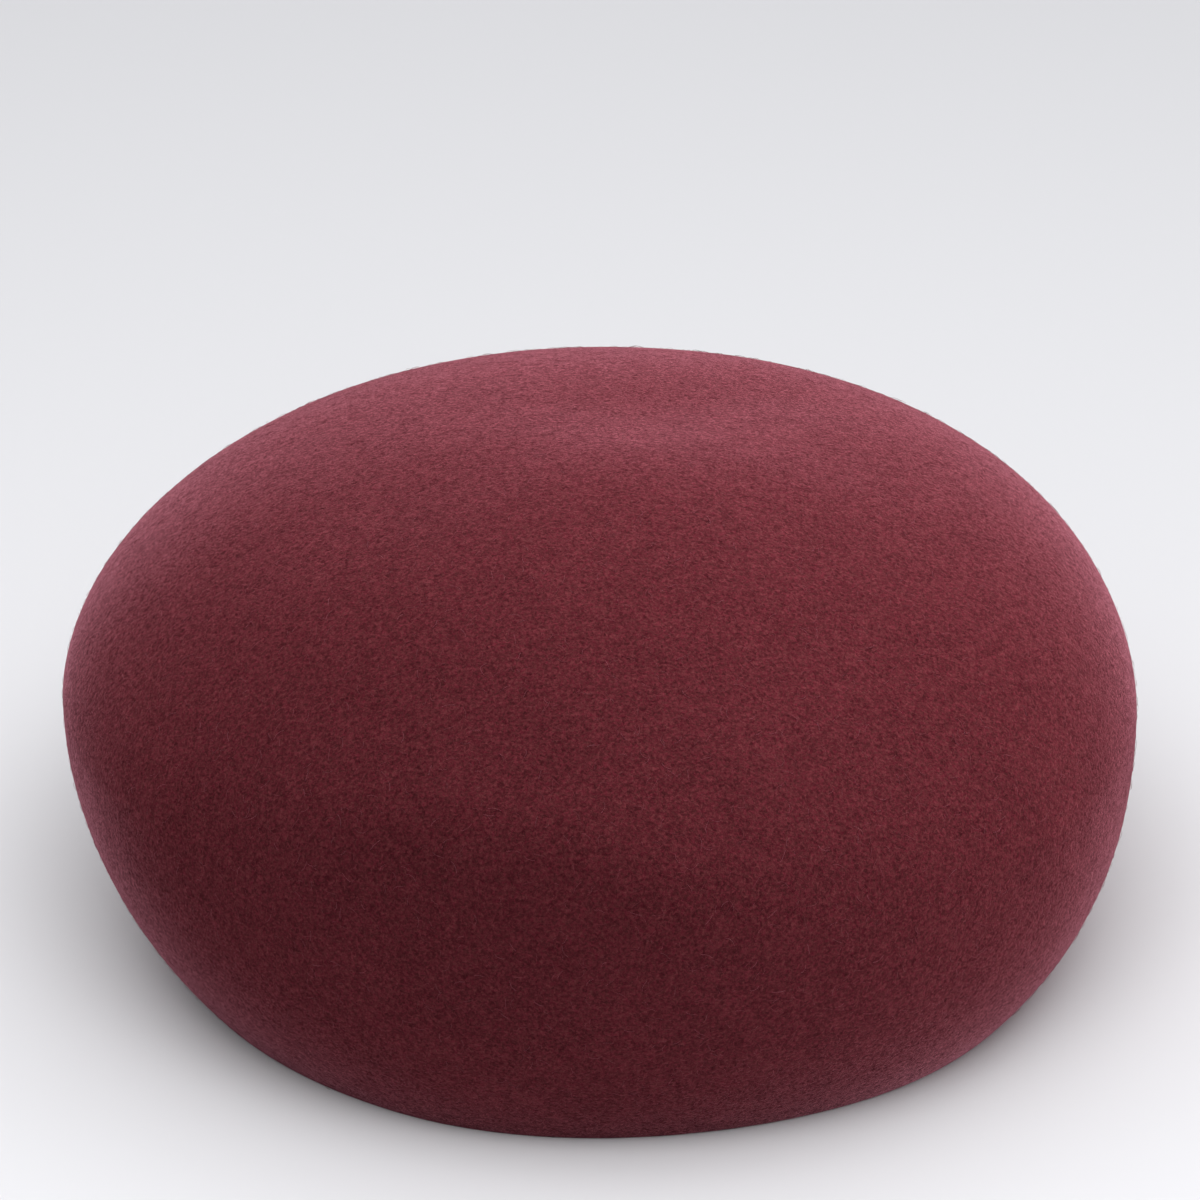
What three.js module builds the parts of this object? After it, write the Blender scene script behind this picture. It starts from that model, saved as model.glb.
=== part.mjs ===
import * as THREE from "three";

// A round moulded felt cap with no brim, one hollow piece of even felt that stands on its rim.
// Lengths are in millimetres. +X is the cap's right, -Y its front and +Z is up.

// The clear head opening inside the rim.
const OPENING_WIDTH = 174.8;
const OPENING_LENGTH = 188.2;

// The felt's thickness, and the rounding of the rim's outer and inner edges.
const FELT = 2.4;
const RIM_OUTER_ROUND = 0.9;
const RIM_INNER_ROUND = 0.45;

// The crown across its widest section, the height of that section and of the whole cap.
const CROWN_WIDTH = 218.7;
const CROWN_LENGTH = 234.4;
const WIDEST_HEIGHT = 52.2;
const CROWN_HEIGHT = 106.3;

// The wall is part of a round arc, which turns this many degrees from the rim to the widest section.
const WALL_TURN = 42.7;

// How far the dome's curve keeps to the upright at its shoulder, as a share of the dome's height,
// and to the level at its top, as a share of the crown's half size.
const SHOULDER_SHARE = 0.32;
const TOP_SHARE = 0.76;

// The plan outline's exponent: 2 is a true oval, and more is squarer.
const PLAN_SQUARENESS = 2.1;

// Where the middle of each section lies, as shares of the crown's half width and half length,
// and how far its right and rear sides lift, as shares of the crown's height.
const SECTIONS = {
  rim: { right: 0.024, rear: 0.001, rightLift: 0, rearLift: 0 },
  widest: { right: 0, rear: 0, rightLift: -0.0146, rearLift: 0.0092 },
  top: { right: 0.043, rear: 0.015, rightLift: -0.0146, rearLift: 0.0092 },
};

// Soft dents, each along a short line. Its two ends are shares of the crown's half width, half length
// and height, its reach is a share of the crown's width and its depth a share of the crown's height.
// A depth below zero is a swell.
const DENTS = [
  // The crease across the top, with a swell at its left end and another in front of it.
  { right: 0.08, front: -0.13, up: 1, toRight: 0.33, toFront: -0.28, toUp: 0.96, reach: 0.074, depth: 0.015 },
  { right: -0.25, front: 0.03, up: 0.98, toRight: -0.02, toFront: 0.1, toUp: 1, reach: 0.081, depth: -0.012 },
  { right: -0.11, front: 0.25, up: 0.98, toRight: 0.28, toFront: 0.11, toUp: 0.98, reach: 0.084, depth: -0.012 },
  // The dip to the right of the crease, and the flattened planes on the right shoulder.
  { right: 0.34, front: -0.04, up: 0.98, toRight: 0.39, toFront: 0.02, toUp: 0.97, reach: 0.061, depth: 0.002 },
  { right: 0.47, front: 0.06, up: 0.95, toRight: 0.61, toFront: 0.26, toUp: 0.88, reach: 0.124, depth: 0.009 },
  { right: 0.44, front: 0.32, up: 0.92, toRight: 0.58, toFront: 0.51, toUp: 0.82, reach: 0.098, depth: 0.007 },
  { right: 0.39, front: 0.6, up: 0.85, toRight: 0.52, toFront: 0.73, toUp: 0.71, reach: 0.145, depth: 0.028 },
  // The small swell on the left shoulder, the soft fullness behind it and the hollow below it.
  { right: -0.53, front: 0.4, up: 0.87, toRight: -0.51, toFront: 0.44, toUp: 0.86, reach: 0.058, depth: -0.004 },
  { right: -0.64, front: 0.11, up: 0.87, toRight: -0.76, toFront: 0.23, toUp: 0.79, reach: 0.116, depth: -0.009 },
  { right: -0.81, front: 0.33, up: 0.73, toRight: -0.65, toFront: 0.66, toUp: 0.68, reach: 0.105, depth: 0.007 },
  // The full front of the dome, and the crest where it turns down into the wall.
  { right: -0.23, front: 0.48, up: 0.92, toRight: 0.15, toFront: 0.43, toUp: 0.94, reach: 0.133, depth: -0.017 },
  { right: -0.2, front: 0.94, up: 0.61, toRight: 0.35, toFront: 0.9, toUp: 0.61, reach: 0.135, depth: -0.009 },
  { right: -0.46, front: 0.84, up: 0.64, toRight: 0.06, toFront: 0.96, toUp: 0.61, reach: 0.056, depth: -0.021 },
  // The hollow under the crest, deepest at its left end, and the swell under its right end.
  { right: -0.65, front: 0.78, up: 0.53, toRight: -0.34, toFront: 0.95, toUp: 0.48, reach: 0.084, depth: 0.026 },
  { right: -0.41, front: 0.92, up: 0.53, toRight: -0.05, toFront: 0.99, toUp: 0.53, reach: 0.08, depth: 0.009 },
  { right: 0.14, front: 0.99, up: 0.48, toRight: 0.53, toFront: 0.86, toUp: 0.48, reach: 0.094, depth: -0.007 },
  // The rim's slight wave along the front.
  { right: 0.22, front: 0.8, up: 0, toRight: 0.3, toFront: 0.78, toUp: 0, reach: 0.12, depth: 0.012 },
  { right: -0.2, front: 0.8, up: 0, toRight: -0.02, toFront: 0.82, toUp: 0, reach: 0.12, depth: -0.01 },
  { right: -0.6, front: 0.58, up: 0, toRight: -0.5, toFront: 0.66, toUp: 0, reach: 0.1, depth: 0.008 },
];

// The mesh: columns around the cap, and rings up the wall, over the dome and round each rim edge.
const COLUMNS = 64;
const WALL_RINGS = 8;
const DOME_RINGS = 18;
const EDGE_RINGS = 3;

// The step, in levels and radians, over which the surface's direction is taken.
const PROBE = 1e-3;

const BURGUNDY = "#5f262c";

const { lerp, degToRad, smoothstep } = THREE.MathUtils;
const { sin, cos, tan, PI } = Math;

const halfWidth = CROWN_WIDTH / 2;
const halfLength = CROWN_LENGTH / 2;
const wallTurn = degToRad(WALL_TURN);

// Levels run from 0 at the rim through 1 at the widest section to 2 at the top.
const TOP = 2;

// The dome's curve from the widest section to the top, as shares of its spread and its rise.
const domeCurve = new THREE.CubicBezierCurve(
  new THREE.Vector2(1, 0),
  new THREE.Vector2(1, SHOULDER_SHARE),
  new THREE.Vector2(TOP_SHARE, 1),
  new THREE.Vector2(0, 1),
);

// The rim's cut edge where the wall leans from the upright by the given angle. Its two edges are
// rounded, and their middles and the inmost point are measured outward from its sharp outer corner.
function rimEdge(lean) {
  const outerRound = Math.min(RIM_OUTER_ROUND, FELT / 2);
  const innerRound = Math.min(RIM_INNER_ROUND, FELT / 4);
  const innerMiddle = innerRound * tan((PI / 2 + lean) / 2) - FELT / cos(lean);
  return {
    outerRound,
    innerRound,
    outerMiddle: -outerRound * tan((PI / 2 - lean) / 2),
    innerMiddle,
    inmost: innerMiddle - innerRound,
  };
}

// The rim's outer half size, from the clear opening's, where the wall swells to the crown's half size.
function rimHalfSize(opening, crownHalf) {
  const swell = crownHalf - opening / 2 - FELT;
  const lean = Math.atan((swell * sin(wallTurn) * tan(wallTurn)) / ((1 - cos(wallTurn)) * WIDEST_HEIGHT));
  return opening / 2 - rimEdge(lean).inmost;
}

const rimHalfWidth = rimHalfSize(OPENING_WIDTH, halfWidth);
const rimHalfLength = rimHalfSize(OPENING_LENGTH, halfLength);

// The half sizes and height of the section at a level.
function sectionSize(level) {
  if (level < 1) {
    const turnLeft = wallTurn * (1 - level);
    const swell = (cos(turnLeft) - cos(wallTurn)) / (1 - cos(wallTurn));
    return {
      across: lerp(rimHalfWidth, halfWidth, swell),
      along: lerp(rimHalfLength, halfLength, swell),
      height: WIDEST_HEIGHT * (1 - sin(turnLeft) / sin(wallTurn)),
    };
  }
  const { x: spread, y: rise } = domeCurve.getPoint(Math.min(level - 1, 1));
  return {
    across: halfWidth * spread,
    along: halfLength * spread,
    height: lerp(WIDEST_HEIGHT, CROWN_HEIGHT, rise),
  };
}

// A column of the table of sections, eased from the rim to the widest section and on to the top.
function easedShare(column, height) {
  const { rim, widest, top } = SECTIONS;
  if (height < WIDEST_HEIGHT) {
    return lerp(rim[column], widest[column], smoothstep(height, 0, WIDEST_HEIGHT));
  }
  return lerp(widest[column], top[column], smoothstep(height, WIDEST_HEIGHT, CROWN_HEIGHT));
}

// A point of the crown's outer form, before its dents.
function formPoint(turn, level) {
  const { across, along, height } = sectionSize(level);
  const c = cos(turn);
  const s = sin(turn);
  const reach = (Math.abs(c) ** PLAN_SQUARENESS + Math.abs(s) ** PLAN_SQUARENESS) ** (-1 / PLAN_SQUARENESS);
  const x = halfWidth * easedShare("right", height) + across * reach * c;
  const y = halfLength * easedShare("rear", height) + along * reach * s;
  const rightLift = (x / halfWidth) * easedShare("rightLift", height);
  const rearLift = (y / halfLength) * easedShare("rearLift", height);
  return new THREE.Vector3(x, y, height + CROWN_HEIGHT * (rightLift + rearLift));
}

// The outward direction of the form at a point.
function formNormal(turn, level) {
  if (level > TOP - PROBE) {
    return new THREE.Vector3(0, 0, 1);
  }
  const low = Math.max(level - PROBE, 0);
  const aroundStep = formPoint(turn + PROBE, level).sub(formPoint(turn - PROBE, level));
  const upStep = formPoint(turn, level + PROBE).sub(formPoint(turn, low));
  return aroundStep.cross(upStep).normalize();
}

const dentLines = DENTS.map((dent) => ({
  line: new THREE.Line3(
    new THREE.Vector3(dent.right * halfWidth, -dent.front * halfLength, dent.up * CROWN_HEIGHT),
    new THREE.Vector3(dent.toRight * halfWidth, -dent.toFront * halfLength, dent.toUp * CROWN_HEIGHT),
  ),
  reach: dent.reach * CROWN_WIDTH,
  depth: dent.depth * CROWN_HEIGHT,
}));

// How deep the dents are at a point of the form, fading softly with distance from each line.
function dentDepth(point) {
  const nearest = new THREE.Vector3();
  return dentLines.reduce((depth, dent) => {
    dent.line.closestPointToPoint(point, true, nearest);
    return depth + dent.depth * Math.exp(-((point.distanceTo(nearest) / dent.reach) ** 2));
  }, 0);
}

// A point of the felt, an inset below its outer face. Near the rim dents push level, so it stays flat.
function feltPoint(turn, level, inset) {
  const point = formPoint(turn, level);
  const normal = formNormal(turn, level);
  const push = normal.clone();
  push.z *= smoothstep(level, 0, 1);
  const dented = point.clone().addScaledVector(push, -dentDepth(point));
  return dented.addScaledVector(normal, -inset);
}

// The rim's section in one column, from the outer wall round both edges to the inner wall.
function rimPoints(turn) {
  const corner = feltPoint(turn, 0, 0);
  const normal = formNormal(turn, 0);
  const outward = normal.clone().setZ(0).normalize();
  const lean = Math.asin(-normal.z);
  const edge = rimEdge(lean);
  const arcPoints = (middle, round, from, to) => Array.from({ length: EDGE_RINGS }, (_, i) => {
    const angle = lerp(from, to, i / (EDGE_RINGS - 1));
    const offset = middle + round * cos(angle);
    return corner.clone().addScaledVector(outward, offset).setZ(round * (1 - sin(angle)));
  });
  return [
    ...arcPoints(edge.outerMiddle, edge.outerRound, lean, PI / 2),
    ...arcPoints(edge.innerMiddle, edge.innerRound, PI / 2, PI + lean),
  ];
}

function ringOf(pointInColumn) {
  return Array.from({ length: COLUMNS }, (_, i) => pointInColumn((2 * PI * i) / COLUMNS));
}

// One closed shell: down the outer face from the top, round the rim and up the inner face.
function shellGeometry() {
  const ringCount = WALL_RINGS + DOME_RINGS;
  const levels = Array.from({ length: ringCount }, (_, i) => (
    i < WALL_RINGS ? i / WALL_RINGS : 1 + (i - WALL_RINGS) / DOME_RINGS
  ));
  const outer = levels.slice(1).reverse().map((level) => ringOf((turn) => feltPoint(turn, level, 0)));
  const inner = levels.map((level) => ringOf((turn) => feltPoint(turn, level, FELT)));
  const rimColumns = ringOf(rimPoints);
  const rim = rimColumns[0].map((_, k) => rimColumns.map((column) => column[k]));
  const rings = [...outer, ...rim, ...inner];

  const points = [feltPoint(0, TOP, 0), ...rings.flat(), feltPoint(0, TOP, FELT)];
  const last = points.length - 1;
  const at = (ring, column) => 1 + ring * COLUMNS + (column % COLUMNS);
  const faces = [];
  for (let i = 0; i < COLUMNS; i += 1) {
    faces.push(0, at(0, i), at(0, i + 1));
    for (let k = 0; k < rings.length - 1; k += 1) {
      faces.push(at(k, i), at(k + 1, i), at(k + 1, i + 1));
      faces.push(at(k, i), at(k + 1, i + 1), at(k, i + 1));
    }
    faces.push(last, at(rings.length - 1, i + 1), at(rings.length - 1, i));
  }

  const geometry = new THREE.BufferGeometry().setFromPoints(points);
  geometry.setIndex(faces);
  geometry.computeBoundingBox();
  const { min, max } = geometry.boundingBox;
  geometry.translate(-(min.x + max.x) / 2, -(min.y + max.y) / 2, -min.z);
  geometry.computeVertexNormals();
  return geometry;
}

function feltCrown() {
  const felt = new THREE.MeshStandardMaterial({ color: BURGUNDY, roughness: 0.95, metalness: 0 });
  const crown = new THREE.Mesh(shellGeometry(), felt);
  crown.name = "felt_crown";
  return crown;
}

const cap = new THREE.Group();
cap.add(feltCrown());

export default cap;
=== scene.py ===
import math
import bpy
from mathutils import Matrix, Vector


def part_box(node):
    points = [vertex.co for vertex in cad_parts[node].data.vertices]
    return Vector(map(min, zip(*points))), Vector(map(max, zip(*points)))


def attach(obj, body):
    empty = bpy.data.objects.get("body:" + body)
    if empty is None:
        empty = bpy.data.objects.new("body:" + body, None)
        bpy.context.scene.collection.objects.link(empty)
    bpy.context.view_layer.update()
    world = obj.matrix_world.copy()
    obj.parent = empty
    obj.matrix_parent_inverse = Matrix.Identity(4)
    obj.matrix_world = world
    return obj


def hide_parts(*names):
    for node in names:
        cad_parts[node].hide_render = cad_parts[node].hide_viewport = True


bl_info = {
    "name": "Moulded Felt Hat",
    "version": (1, 0, 0),
    "blender": (4, 5, 0),
    "location": "View3D > Sidebar > Felt Hat",
    "description": "Finishes a moulded felt hat around its frame and sets it on a plain stage",
    "category": "Add Mesh",
}

import bmesh
import bpy
from mathutils import Vector

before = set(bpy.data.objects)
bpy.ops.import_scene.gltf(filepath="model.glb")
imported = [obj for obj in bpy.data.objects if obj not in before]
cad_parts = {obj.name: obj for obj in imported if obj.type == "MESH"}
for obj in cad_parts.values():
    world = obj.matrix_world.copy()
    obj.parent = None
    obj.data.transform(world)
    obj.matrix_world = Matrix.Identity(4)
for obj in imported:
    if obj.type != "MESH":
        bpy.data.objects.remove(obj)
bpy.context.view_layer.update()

# The frame's names.
CROWN_NODE = "felt_crown"
BODY = "root"

MM = 0.001

crown_low, crown_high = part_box(CROWN_NODE)
CROWN_HEIGHT = crown_high.z - crown_low.z
# The middle of the hollow, which tells the felt's outer face from its inner one.
HOLLOW_MIDDLE = Vector((0, 0, crown_low.z + CROWN_HEIGHT / 2))

# The pieces that this script makes.
CROWN = "moulded_crown"
HAIRS = "loose_hairs"
HAT_PIECES = (CROWN, HAIRS)
FLOOR = "floor"

# Vertices closer than this are one vertex of the frame's mesh.
MERGE_DISTANCE = 0.01 * MM
# Two triangles become one four-sided face if they turn and skew by less than this.
MERGE_TURN = math.radians(40)
MERGE_SKEW = math.radians(70)

# How far the floor lies below the rim, so that the two faces don't flicker.
FLOOR_GAP = 0.1 * MM
ROOM_COLOUR = (0.97, 0.97, 1.0, 1)

# The camera, from the fit of the hat's outline in the photograph.
CAMERA_DISTANCE = 1.15
CAMERA_ELEVATION = math.radians(25.25)
LOOK_POINT = Vector((0, 0.5 * MM, 50 * MM))
# How far above the look point the camera aims, so that the hat sits low in the frame.
CAMERA_RAISE = math.radians(0.907)
CAMERA_LENS = 168.7
CAMERA_SENSOR = 36
CAMERA_CLIP = 0.01


class Value:
    """A number in a node tree. Python's operators on it add Math nodes."""

    def __init__(self, board, socket):
        self.board = board
        self.socket = socket

    def math(self, operation, *others):
        return self.board.node("ShaderNodeMath", {"operation": operation}, [self, *others])[0]

    def __add__(self, other):
        return self.math("ADD", other)

    __radd__ = __add__

    def __sub__(self, other):
        return self.math("SUBTRACT", other)

    def __rsub__(self, other):
        return (self * -1) + other

    def __mul__(self, other):
        return self.math("MULTIPLY", other)

    __rmul__ = __mul__

    def __pow__(self, other):
        return self.math("POWER", other)

    def clamped(self, low, high):
        return self.math("MAXIMUM", low).math("MINIMUM", high)


class Board:
    """A node tree being filled, for a material or for Geometry Nodes."""

    def __init__(self, tree):
        self.tree = tree

    def link(self, source, socket):
        self.tree.links.new(getattr(source, "socket", source), socket)

    def fill(self, socket, given):
        """Links a value to a socket, or sets a plain number or colour on it."""
        if isinstance(given, (Value, bpy.types.NodeSocket)):
            self.link(given, socket)
        else:
            socket.default_value = given

    def node(self, kind, settings=None, inputs=()):
        """Adds a node: its settings first, then its inputs by name or in order. Returns its outputs."""
        made = self.tree.nodes.new(kind)
        for name, setting in (settings or {}).items():
            setattr(made, name, setting)
        named = inputs.items() if isinstance(inputs, dict) else enumerate(inputs)
        for name, given in named:
            self.fill(made.inputs[name], given)
        return [Value(self, output) for output in made.outputs if output.enabled]

    def output(self, kind, settings, inputs, name):
        """Adds a node and returns only the output of that name."""
        for value in self.node(kind, settings, inputs):
            if value.socket.name == name:
                return value
        raise KeyError(f"{kind} has no output {name}")

    def mix_colour(self, factor, first, second, blend="MIX"):
        """Mixes two colours. The node has sockets of the same names for other kinds of value."""
        made = self.tree.nodes.new("ShaderNodeMix")
        made.data_type = "RGBA"
        made.blend_type = blend
        colour_sockets = {socket.name: socket for socket in made.inputs if socket.enabled}
        for name, given in {"Factor": factor, "A": first, "B": second}.items():
            self.fill(colour_sockets[name], given)
        return next(Value(self, output) for output in made.outputs if output.enabled)


class FeltHatSettings(bpy.types.PropertyGroup):
    """The hat's finish: what a hatter would choose, and the painted shade and light of the felt's pits
    and tufts.
    """

    smoothing: bpy.props.IntProperty(
        name="Smoothing", description="Subdivision levels of the felt", default=2, min=0, max=3)
    relief_height: bpy.props.FloatProperty(
        name="Relief height", description="How uneven the moulded felt is",
        default=0.12 * MM, min=0, unit="LENGTH")
    relief_size: bpy.props.FloatProperty(
        name="Relief size", description="Width of the felt's soft unevenness",
        default=14 * MM, min=1 * MM, unit="LENGTH")
    felt_colour: bpy.props.FloatVectorProperty(
        name="Felt colour", description="The dyed wool", subtype="COLOR", size=3,
        default=(0.0830, 0.0145, 0.0188), min=0, max=1)
    # Pit colour: the felt darkened with painted shade where the pits between the fibres lie in shade.
    shaded_pit_colour: bpy.props.FloatVectorProperty(
        name="Pit colour", description="The shaded pits between the fibres", subtype="COLOR", size=3,
        default=(0.0230, 0.0040, 0.0050), min=0, max=1)
    # Tuft colour: lighter partly from the fibres' own tone and partly from painted light on the raised
    # fibres.
    lit_tuft_colour: bpy.props.FloatVectorProperty(
        name="Tuft colour", description="The fibres that lie on top", subtype="COLOR", size=3,
        default=(0.1600, 0.0290, 0.0370), min=0, max=1)
    nap_colour: bpy.props.FloatVectorProperty(
        name="Nap colour", description="The bloom of loose fibre ends at a low angle", subtype="COLOR",
        size=3, default=(1.0, 0.42, 0.54), min=0, max=1)
    hair_density: bpy.props.FloatProperty(
        name="Hair density", description="Loose hairs on a square metre of the outer face",
        default=95000, min=0)
    hair_length: bpy.props.FloatProperty(
        name="Hair length", description="Length of a usual loose hair", default=1.9 * MM, min=0,
        unit="LENGTH")
    hair_width: bpy.props.FloatProperty(
        name="Hair width", description="Thickness of a loose hair", default=0.045 * MM, min=0,
        unit="LENGTH")
    hair_colour: bpy.props.FloatVectorProperty(
        name="Hair colour", description="The loose hairs", subtype="COLOR", size=3,
        default=(0.20, 0.050, 0.064), min=0, max=1)
    seed: bpy.props.IntProperty(
        name="Seed", description="Seed of everything that is scattered", default=7)


class FeltHatStageSettings(bpy.types.PropertyGroup):
    """The plain stage."""

    floor_size: bpy.props.FloatProperty(
        name="Floor size", description="Side of the square floor", default=8, min=1, unit="LENGTH")
    floor_colour: bpy.props.FloatVectorProperty(
        name="Floor colour", description="The plain pale floor", subtype="COLOR", size=3,
        default=(0.74, 0.742, 0.762), min=0, max=1)
    light_power: bpy.props.FloatProperty(
        name="Light power", description="Power of a whole softbox in watts", default=20, min=0)
    light_distance: bpy.props.FloatProperty(
        name="Light distance", description="How far the softboxes stand from the hat", default=1.3,
        min=0.5, unit="LENGTH")
    room_light: bpy.props.FloatProperty(
        name="Room light", description="Brightness of the pale room all round", default=0.37, min=0)


# The softboxes: the side they stand on, 0 at the front and 90 at the right, their height in
# degrees above the floor, their side in metres, their share of a whole softbox's power and what
# their screens let them light: the hat, the floor or both.
SOFTBOXES = {
    "overhead_softbox": {"side": 180, "height": 88, "size": 2.4, "share": 0.64, "lights": "both"},
    "rear_softbox": {"side": 180, "height": 25, "size": 0.7, "share": 0.84, "lights": "hat"},
    "high_rear_softbox": {"side": 180, "height": 70, "size": 0.5, "share": 0.26, "lights": "hat"},
    "rear_right_softbox": {"side": 130, "height": 35, "size": 0.7, "share": 0.45, "lights": "hat"},
    "rear_left_softbox": {"side": 230, "height": 35, "size": 0.7, "share": 0.25, "lights": "hat"},
    "right_softbox": {"side": 90, "height": 18, "size": 0.7, "share": 0.57, "lights": "hat"},
    "front_right_softbox": {"side": 50, "height": 12, "size": 0.7, "share": 0.08, "lights": "hat"},
    "left_softbox": {"side": 270, "height": 70, "size": 0.5, "share": 0.12, "lights": "hat"},
    "front_softbox": {"side": 0, "height": 65, "size": 1.0, "share": 0.26, "lights": "floor"},
    "low_front_softbox": {"side": 0, "height": 45, "size": 1.0, "share": 0.36, "lights": "floor"},
    "low_right_softbox": {"side": 90, "height": 45, "size": 1.0, "share": 0.08, "lights": "floor"},
}


def as_colour(colour):
    return (*colour, 1)


def add_object(name, mesh):
    made = bpy.data.objects.new(name, mesh)
    bpy.context.scene.collection.objects.link(made)
    return made


def new_tree(name, sockets):
    """A Geometry Nodes tree with a geometry in and out and the given named inputs."""
    tree = bpy.data.node_groups.new(name, "GeometryNodeTree")
    interface = tree.interface
    interface.new_socket("Geometry", in_out="INPUT", socket_type="NodeSocketGeometry")
    interface.new_socket("Geometry", in_out="OUTPUT", socket_type="NodeSocketGeometry")
    for socket_name, kind in sockets:
        interface.new_socket(socket_name, in_out="INPUT", socket_type=kind)
    board = Board(tree)
    entry = tree.nodes.new("NodeGroupInput")
    given = {socket.name: Value(board, socket) for socket in entry.outputs if socket.name}
    return board, given


def end_tree(board, geometry):
    leave = board.tree.nodes.new("NodeGroupOutput")
    board.link(geometry, leave.inputs[0])


def run_tree(piece, board, values):
    """Runs a tree on a piece with the given input values, and leaves the result as its plain mesh."""
    modifier = piece.modifiers.new(board.tree.name, "NODES")
    modifier.node_group = board.tree
    for item in board.tree.interface.items_tree:
        if item.in_out == "INPUT" and item.name in values:
            modifier[item.identifier] = values[item.name]
    depsgraph = bpy.context.evaluated_depsgraph_get()
    mesh = bpy.data.meshes.new_from_object(piece.evaluated_get(depsgraph), depsgraph=depsgraph)
    piece.modifiers.clear()
    old = piece.data
    piece.data = mesh
    bpy.data.meshes.remove(old)


def outward_share(board):
    """How far each face looks away from the hollow's middle: above zero on the outer face."""
    position = board.node("GeometryNodeInputPosition")[0]
    normal = board.node("GeometryNodeInputNormal")[0]
    away = board.node("ShaderNodeVectorMath", {"operation": "SUBTRACT"}, [position, HOLLOW_MIDDLE])[0]
    return board.output("ShaderNodeVectorMath", {"operation": "DOT_PRODUCT"}, [normal, away], "Value")


def height_above_rim(board):
    position = board.node("GeometryNodeInputPosition")[0]
    return board.output("ShaderNodeSeparateXYZ", {}, [position], "Z")


# The height over which the felt's unevenness fades out towards the rim, so the rim stays flat.
RIM_FADE = 6 * MM


def felt_tree():
    """Smooths the crown, gives it the soft unevenness of moulded felt and its two finishes, outer and
    inner.
    """
    board, given = new_tree("Moulded felt", [
        ("Smoothing", "NodeSocketInt"),
        ("Relief height", "NodeSocketFloat"),
        ("Relief size", "NodeSocketFloat"),
        ("Seed", "NodeSocketFloat"),
        ("Outer felt", "NodeSocketMaterial"),
        ("Inner felt", "NodeSocketMaterial"),
    ])
    smooth = board.node(
        "GeometryNodeSubdivisionSurface", {"boundary_smooth": "ALL"},
        {"Mesh": given["Geometry"], "Level": given["Smoothing"]})[0]
    position = board.node("GeometryNodeInputPosition")[0]
    scaled = board.node(
        "ShaderNodeVectorMath", {"operation": "SCALE"},
        {"Vector": position, "Scale": given["Relief size"] ** -1})[0]
    noise = board.output(
        "ShaderNodeTexNoise", {"noise_dimensions": "4D"},
        {"Vector": scaled, "W": given["Seed"], "Scale": 1, "Detail": 2, "Roughness": 0.55}, "Fac")
    fade = (height_above_rim(board) * (1 / RIM_FADE)).clamped(0, 1)
    lift = (noise - 0.5) * 2 * given["Relief height"] * fade
    normal = board.node("GeometryNodeInputNormal")[0]
    offset = board.node(
        "ShaderNodeVectorMath", {"operation": "SCALE"}, {"Vector": normal, "Scale": lift})[0]
    uneven = board.node(
        "GeometryNodeSetPosition", {}, {"Geometry": smooth, "Offset": offset})[0]
    shaded = board.node("GeometryNodeSetShadeSmooth", {}, {"Geometry": uneven})[0]
    whole = board.node("GeometryNodeRealizeInstances", {}, {"Geometry": shaded})[0]
    outer = board.node(
        "GeometryNodeSetMaterial", {}, {"Geometry": whole, "Material": given["Outer felt"]})[0]
    inside = outward_share(board).math("LESS_THAN", 0)
    finished = board.node(
        "GeometryNodeSetMaterial", {},
        {"Geometry": outer, "Selection": inside, "Material": given["Inner felt"]})[0]
    end_tree(board, finished)
    return board


# The loose hairs' shapes: how far each curls sideways and stands up, as shares of its length.
HAIR_SHAPES = (
    {"curl": 0.30, "stand": 0.08, "tip": 0.02},
    {"curl": -0.22, "stand": 0.10, "tip": 0.05},
    {"curl": 0.45, "stand": 0.06, "tip": 0.01},
    {"curl": -0.05, "stand": 0.09, "tip": 0.06},
)
# How deep a hair's root sits in the felt, as a share of its length.
HAIR_ROOT = 0.03
# The hair's bends along its length and the sides of its section.
HAIR_STEPS = 4
HAIR_SIDES = 3
# The shortest and longest hair as shares of the usual one.
SHORTEST_HAIR = 0.45
LONGEST_HAIR = 1.5
# The share of a hair's width that it loses towards its tip.
HAIR_TAPER = 0.75
# Hairs are rooted no lower than this above the rim.
HAIRLESS_HEIGHT = 3 * MM


def hair_shape(board, length, width, shape):
    """One hair along +X, from its root in the felt to its free tip."""
    def point(along, aside, up):
        parts = [length * along, length * aside, length * up]
        return board.node("ShaderNodeCombineXYZ", {}, parts)[0]

    curve = board.node(
        "GeometryNodeCurveQuadraticBezier", {},
        {
            "Resolution": HAIR_STEPS - 1,
            "Start": point(0, 0, -HAIR_ROOT),
            "Middle": point(0.5, shape["curl"], 2 * shape["stand"]),
            "End": point(1, 0, shape["tip"]),
        })[0]
    along = board.node("GeometryNodeSplineParameter")[0]
    taper = 1 - along * HAIR_TAPER
    thinned = board.node(
        "GeometryNodeSetCurveRadius", {}, {"Curve": curve, "Radius": taper})[0]
    section = board.node(
        "GeometryNodeCurvePrimitiveCircle", {}, {"Resolution": HAIR_SIDES, "Radius": width * 0.5})[0]
    hair = board.node(
        "GeometryNodeCurveToMesh", {},
        {"Curve": thinned, "Profile Curve": section, "Fill Caps": True})[0]
    return board.node("GeometryNodeGeometryToInstance", {}, [hair])[0]


def join_all(board, geometries):
    """Joins geometries, the last one given first, as the node takes them."""
    made = board.tree.nodes.new("GeometryNodeJoinGeometry")
    for geometry in reversed(geometries):
        board.link(geometry, made.inputs[0])
    return Value(board, made.outputs[0])


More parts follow.
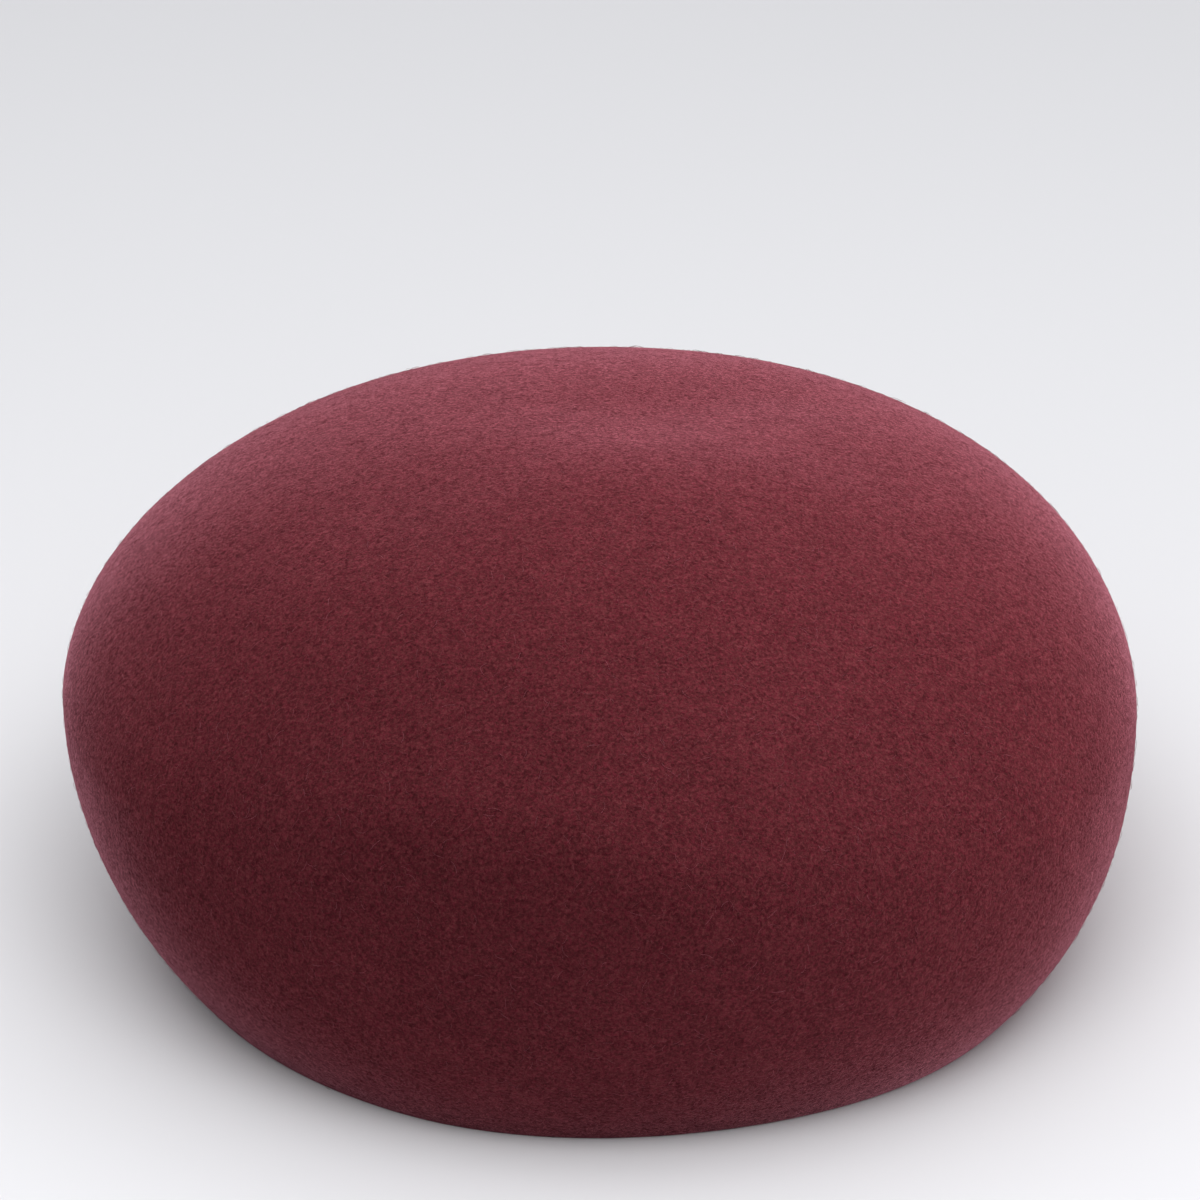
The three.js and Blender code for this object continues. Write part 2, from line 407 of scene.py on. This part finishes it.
def hair_tree():
    """Scatters loose hairs over the felt's outer face."""
    board, given = new_tree("Loose hairs", [
        ("Density", "NodeSocketFloat"),
        ("Length", "NodeSocketFloat"),
        ("Width", "NodeSocketFloat"),
        ("Seed", "NodeSocketInt"),
        ("Material", "NodeSocketMaterial"),
    ])
    outside = outward_share(board).math("GREATER_THAN", 0)
    clear_of_rim = height_above_rim(board).math("GREATER_THAN", HAIRLESS_HEIGHT)
    scattered = board.node(
        "GeometryNodeDistributePointsOnFaces", {"distribute_method": "RANDOM"},
        {
            "Mesh": given["Geometry"],
            "Selection": outside * clear_of_rim,
            "Density": given["Density"],
            "Seed": given["Seed"],
        })
    points, rotation = scattered[0], scattered[2]
    shapes = [hair_shape(board, given["Length"], given["Width"], shape) for shape in HAIR_SHAPES]
    hairs = join_all(board, shapes)

    def chance(low, high, offset):
        """A number for each hair between two limits, with its own place in the seeds."""
        outputs = board.node(
            "FunctionNodeRandomValue", {"data_type": "FLOAT"},
            {"Min": low, "Max": high, "Seed": given["Seed"] + offset})
        return outputs[0]

    spin = board.node("ShaderNodeCombineXYZ", {}, [0.0, 0.0, chance(0.0, math.tau, 1)])[0]
    turned = board.node(
        "FunctionNodeRotateRotation", {"rotation_space": "LOCAL"},
        {"Rotation": rotation, "Rotate By": spin})[0]
    choice = board.output(
        "FunctionNodeRandomValue", {"data_type": "INT"},
        {"Min": 0, "Max": len(HAIR_SHAPES) - 1, "Seed": given["Seed"] + 2}, "Value")
    placed = board.node(
        "GeometryNodeInstanceOnPoints", {},
        {
            "Points": points,
            "Instance": hairs,
            "Pick Instance": True,
            "Instance Index": choice,
            "Rotation": turned,
            "Scale": chance(SHORTEST_HAIR, LONGEST_HAIR, 3),
        })[0]
    whole = board.node("GeometryNodeRealizeInstances", {}, {"Geometry": placed})[0]
    finished = board.node(
        "GeometryNodeSetMaterial", {}, {"Geometry": whole, "Material": given["Material"]})[0]
    end_tree(board, finished)
    return board


def new_material(name):
    material = bpy.data.materials.new(name)
    material.use_nodes = True
    material.node_tree.nodes.clear()
    return material, Board(material.node_tree)


def wool_shader(board, inputs):
    """A shader for wool, which throws no clear highlight of its own."""
    return board.node("ShaderNodeBsdfPrincipled", {}, {"Specular IOR Level": 0.0, **inputs})[0]


def finish_material(board, shader):
    board.node("ShaderNodeOutputMaterial", {}, {"Surface": shader})


def fine_noise(board, coordinate, kind):
    """Noise from 0 to 1 of a kind that has a row in a table of noises."""
    noise = board.output(
        "ShaderNodeTexNoise", {"noise_dimensions": "3D"},
        {
            "Vector": coordinate,
            "Scale": 1 / kind["size"],
            "Detail": kind["detail"],
            "Roughness": kind["roughness"],
            "Distortion": kind["distortion"],
        }, "Fac")
    return sharpened(noise, kind["contrast"])


def sharpened(value, contrast):
    """Spreads noise that gathers round a half, and keeps it from 0 to 1."""
    return ((value - 0.5) * contrast + 0.5).clamped(0, 1)


def weighed(noises, shares):
    """Noises added up by their shares."""
    parts = [noises[name] * share for name, share in shares.items()]
    total = parts[0]
    for part in parts[1:]:
        total = total + part
    return total


# The felt's noises: the width of their blotches, their detail, its roughness, how far they are
# twisted and how much they are sharpened. The wide ones are its patches, the fine ones its fibres.
FELT_NOISES = {
    "patches": {"size": 12 * MM, "detail": 3, "roughness": 0.6, "distortion": 0.0, "contrast": 2.0},
    "clouds": {"size": 2.6 * MM, "detail": 3, "roughness": 0.6, "distortion": 0.0, "contrast": 2.2},
    "mottle": {"size": 0.72 * MM, "detail": 2, "roughness": 0.6, "distortion": 0.8, "contrast": 2.8},
    "curls": {"size": 0.36 * MM, "detail": 1, "roughness": 0.5, "distortion": 1.6, "contrast": 2.5},
    "dye": {"size": 0.5 * MM, "detail": 3, "roughness": 0.7, "distortion": 0.0, "contrast": 2.4},
}
# What each noise adds to the mottle from pit to tuft (the felt's uneven tone with painted shade in the
# pits and painted light on the tufts), to the bump and to the bloom.
PIT_SHADE_SHARES = {"mottle": 0.46, "curls": 0.30, "clouds": 0.16, "patches": 0.08}
BUMP_SHARES = {"mottle": 0.6, "curls": 0.4}
BLOOM_SHARES = {"mottle": 0.5, "curls": 0.3, "clouds": 0.2}
BLOOM_CONTRAST = 1.5
OUTER_BUMP = 0.065 * MM
INNER_BUMP = 0.02 * MM
# What the dye's unevenness multiplies the wool's colour by, at its two ends.
COOLER_DYE = (0.94, 0.55, 0.78, 1)
WARMER_DYE = (1.06, 1.50, 1.24, 1)

WOOL_ROUGHNESS = 0.95
# The bloom's strength in the pits and on the tufts, and how wide it spreads from the edges.
PIT_BLOOM = 0.12
TUFT_BLOOM = 0.68
BLOOM_SPREAD = 0.29

HAIR_NOISE = {"size": 2.2 * MM, "detail": 1, "roughness": 0.6, "distortion": 0.0, "contrast": 2.5}
# The darkest hairs' colour as a share of the lightest ones'.
DARK_HAIR = 0.55
HAIR_ROUGHNESS = 0.9
HAIR_BLOOM = 0.35
HAIR_BLOOM_SPREAD = 0.3


def felt_material(name, settings, bump_height):
    """Pressed wool: soft patches, a mottle of pits and tufts with painted shade in the pits and painted
    light on the tufts, and a bloom at low angles.
    """
    material, board = new_material(name)
    coordinate = board.output("ShaderNodeTexCoord", {}, (), "Object")
    noises = {key: fine_noise(board, coordinate, kind) for key, kind in FELT_NOISES.items()}
    pit_shade_depth = weighed(noises, PIT_SHADE_SHARES)
    # The lower half of the shade depth goes from pit to felt, and the upper half from felt to tuft.
    # This mottle is partly the felt's own uneven tone and partly painted shade in the pits and painted
    # light on the raised tufts.
    low = board.mix_colour(
        (pit_shade_depth * 2).clamped(0, 1), as_colour(settings.shaded_pit_colour), as_colour(settings.felt_colour))
    wool = board.mix_colour(
        (pit_shade_depth * 2 - 1).clamped(0, 1), low, as_colour(settings.lit_tuft_colour))
    cooler = board.mix_colour(1.0, wool, COOLER_DYE, "MULTIPLY")
    warmer = board.mix_colour(1.0, wool, WARMER_DYE, "MULTIPLY")
    dyed = board.mix_colour(noises["dye"], cooler, warmer)
    bump = board.node(
        "ShaderNodeBump", {},
        {"Strength": 1.0, "Distance": bump_height, "Height": weighed(noises, BUMP_SHARES)})[0]
    wool_inputs = {
        "Base Color": dyed,
        "Roughness": WOOL_ROUGHNESS,
        "Sheen Roughness": BLOOM_SPREAD,
        "Sheen Tint": as_colour(settings.nap_colour),
        "Normal": bump,
    }
    pits = wool_shader(board, {**wool_inputs, "Sheen Weight": PIT_BLOOM})
    tufts = wool_shader(board, {**wool_inputs, "Sheen Weight": TUFT_BLOOM})
    raised = sharpened(weighed(noises, BLOOM_SHARES), BLOOM_CONTRAST)
    finish_material(board, board.node("ShaderNodeMixShader", {}, [raised, pits, tufts])[0])
    return material


def hair_material(settings):
    """Loose wool hairs, each a little lighter or darker than the next."""
    material, board = new_material("loose_hair")
    coordinate = board.output("ShaderNodeTexCoord", {}, (), "Object")
    strand = fine_noise(board, coordinate, HAIR_NOISE)
    dark = [channel * DARK_HAIR for channel in settings.hair_colour]
    colour = board.mix_colour(strand, as_colour(dark), as_colour(settings.hair_colour))
    finish_material(board, wool_shader(board, {
        "Base Color": colour,
        "Roughness": HAIR_ROUGHNESS,
        "Sheen Weight": HAIR_BLOOM,
        "Sheen Roughness": HAIR_BLOOM_SPREAD,
        "Sheen Tint": as_colour(settings.nap_colour),
    }))
    return material


def merged_copy(node, name):
    """A copy of a frame node's mesh with its loose triangles merged back to four-sided faces."""
    work = bmesh.new()
    work.from_mesh(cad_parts[node].data)
    bmesh.ops.remove_doubles(work, verts=work.verts, dist=MERGE_DISTANCE)
    bmesh.ops.join_triangles(
        work, faces=work.faces,
        angle_face_threshold=MERGE_TURN, angle_shape_threshold=MERGE_SKEW)
    mesh = bpy.data.meshes.new(name)
    work.to_mesh(mesh)
    work.free()
    return mesh


class FELTHAT_OT_crown(bpy.types.Operator):
    """Makes the felt crown over its frame node"""

    bl_idname = "felt_hat.crown"
    bl_label = "Felt crown"

    def execute(self, context):
        settings = context.scene.felt_hat
        crown = add_object(CROWN, merged_copy(CROWN_NODE, CROWN))
        run_tree(crown, felt_tree(), {
            "Smoothing": settings.smoothing,
            "Relief height": settings.relief_height,
            "Relief size": settings.relief_size,
            "Seed": float(settings.seed),
            "Outer felt": felt_material("outer_felt", settings, OUTER_BUMP),
            "Inner felt": felt_material("inner_felt", settings, INNER_BUMP),
        })
        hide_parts(CROWN_NODE)
        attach(crown, BODY)
        return {"FINISHED"}


class FELTHAT_OT_hairs(bpy.types.Operator):
    """Scatters the loose hairs over the crown"""

    bl_idname = "felt_hat.hairs"
    bl_label = "Loose hairs"

    def execute(self, context):
        settings = context.scene.felt_hat
        crown = bpy.data.objects.get(CROWN)
        if crown is None:
            raise RuntimeError("make the crown before its hairs")
        hairs = add_object(HAIRS, crown.data.copy())
        run_tree(hairs, hair_tree(), {
            "Density": settings.hair_density,
            "Length": settings.hair_length,
            "Width": settings.hair_width,
            "Seed": settings.seed,
            "Material": hair_material(settings),
        })
        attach(hairs, BODY)
        return {"FINISHED"}


def add_floor(stage):
    mesh = bpy.data.meshes.new(FLOOR)
    half = stage.floor_size / 2
    level = crown_low.z - FLOOR_GAP
    corners = [(-half, -half, level), (half, -half, level), (half, half, level), (-half, half, level)]
    mesh.from_pydata(corners, [], [(0, 1, 2, 3)])
    floor = add_object(FLOOR, mesh)
    material, board = new_material("pale_floor")
    shader = board.node("ShaderNodeBsdfPrincipled", {}, {
        "Base Color": as_colour(stage.floor_colour),
        "Roughness": 0.9,
        "Specular IOR Level": 0.1,
    })[0]
    finish_material(board, shader)
    mesh.materials.append(material)


def aim(thing, place, target):
    thing.location = place
    thing.rotation_euler = (Vector(target) - Vector(place)).to_track_quat("-Z", "Y").to_euler()


def add_area_light(name, place, target, size, power):
    light = bpy.data.lights.new(name, "AREA")
    light.shape = "SQUARE"
    light.size = size
    light.energy = power
    holder = add_object(name, light)
    aim(holder, place, target)
    return holder


def lit_group(name, members):
    """A collection of the named objects, as far as they are made, that a screened softbox lights."""
    group = bpy.data.collections.new(name)
    for member in members:
        if member in bpy.data.objects:
            group.objects.link(bpy.data.objects[member])
    return group


def add_softboxes(stage):
    groups = {
        "both": None,
        "hat": lit_group("hat_alone", HAT_PIECES),
        "floor": lit_group("floor_alone", [FLOOR]),
    }
    for name, box in SOFTBOXES.items():
        side, height = math.radians(box["side"]), math.radians(box["height"])
        direction = Vector((
            math.cos(height) * math.sin(side), -math.cos(height) * math.cos(side), math.sin(height)))
        place = direction * stage.light_distance
        power = stage.light_power * box["share"]
        softbox = add_area_light(name, place, HOLLOW_MIDDLE, box["size"], power)
        group = groups[box["lights"]]
        if group is not None:
            softbox.light_linking.receiver_collection = group


def add_room(stage):
    world = bpy.data.worlds.new("pale_room")
    bpy.context.scene.world = world
    world.use_nodes = True
    background = world.node_tree.nodes["Background"]
    background.inputs["Color"].default_value = ROOM_COLOUR
    background.inputs["Strength"].default_value = stage.room_light


def add_camera():
    lens = bpy.data.cameras.new("photo_camera")
    lens.lens = CAMERA_LENS
    lens.sensor_width = CAMERA_SENSOR
    lens.clip_start = CAMERA_CLIP
    holder = add_object("photo_camera", lens)
    towards = Vector((0, -math.cos(CAMERA_ELEVATION), math.sin(CAMERA_ELEVATION)))
    holder.location = LOOK_POINT + towards * CAMERA_DISTANCE
    holder.rotation_euler = (math.pi / 2 - CAMERA_ELEVATION + CAMERA_RAISE, 0, 0)
    bpy.context.scene.camera = holder


class FELTHAT_OT_stage(bpy.types.Operator):
    """Adds the plain floor, the soft studio light and the camera"""

    bl_idname = "felt_hat.stage"
    bl_label = "Plain stage"

    def execute(self, context):
        stage = context.scene.felt_hat_stage
        add_floor(stage)
        add_room(stage)
        add_softboxes(stage)
        add_camera()
        context.scene.view_settings.view_transform = "Standard"
        return {"FINISHED"}


class FELTHAT_PT_panel(bpy.types.Panel):
    """The felt hat's settings and steps"""

    bl_idname = "FELTHAT_PT_panel"
    bl_label = "Felt Hat"
    bl_space_type = "VIEW_3D"
    bl_region_type = "UI"
    bl_category = "Felt Hat"

    def draw(self, context):
        for settings in (context.scene.felt_hat, context.scene.felt_hat_stage):
            column = self.layout.column()
            for name in settings.__annotations__:
                column.prop(settings, name)
        for step in STEPS:
            self.layout.operator(step.bl_idname)


STEPS = (FELTHAT_OT_crown, FELTHAT_OT_hairs, FELTHAT_OT_stage)
CLASSES = (FeltHatSettings, FeltHatStageSettings, *STEPS, FELTHAT_PT_panel)


def register():
    for made in CLASSES:
        bpy.utils.register_class(made)
    bpy.types.Scene.felt_hat = bpy.props.PointerProperty(type=FeltHatSettings)
    bpy.types.Scene.felt_hat_stage = bpy.props.PointerProperty(type=FeltHatStageSettings)


def unregister():
    del bpy.types.Scene.felt_hat_stage
    del bpy.types.Scene.felt_hat
    for made in reversed(CLASSES):
        bpy.utils.unregister_class(made)


def main():
    register()
    bpy.ops.felt_hat.crown()
    bpy.ops.felt_hat.hairs()
    bpy.ops.felt_hat.stage()


if __name__ == "__main__":
    main()
